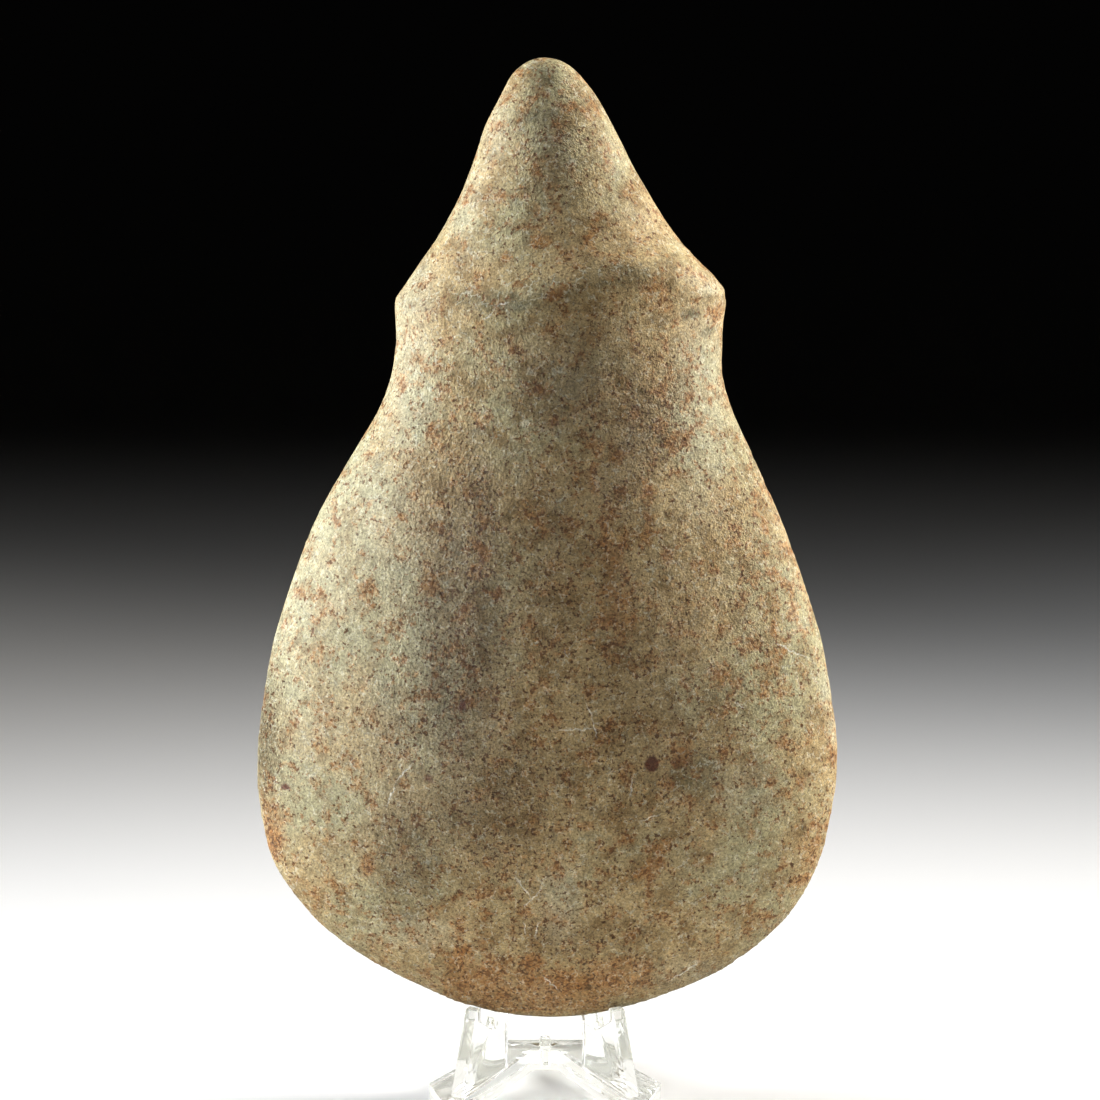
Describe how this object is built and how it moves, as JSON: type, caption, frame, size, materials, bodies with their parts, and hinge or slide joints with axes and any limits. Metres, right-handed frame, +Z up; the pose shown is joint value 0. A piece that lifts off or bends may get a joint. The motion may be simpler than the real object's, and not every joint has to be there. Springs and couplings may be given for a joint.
{
  "type": "petaloid celt",
  "caption": "Ground stone axe head with a pointed butt, keeled shoulder and broad rounded blade, leaning upright on a clear acrylic stand.",
  "frame": {"origin": "on the underside of the stand's slab, at the middle of the bridge that joins its two arms", "axes": "+Z up; the front of the celt faces -Y; +X is on the right of someone who looks at the front"},
  "size_m": [0.1576, 0.0654, 0.2831],
  "materials": {
    "ground_stone": "matte",
    "clear_acrylic": "polished"
  },
  "bodies": {
    "root": {"celt": "ground_stone", "stand_base": "clear_acrylic", "stand_upright_left": "clear_acrylic", "stand_upright_right": "clear_acrylic", "stand_peg": "clear_acrylic"}
  },
  "joints": []
}
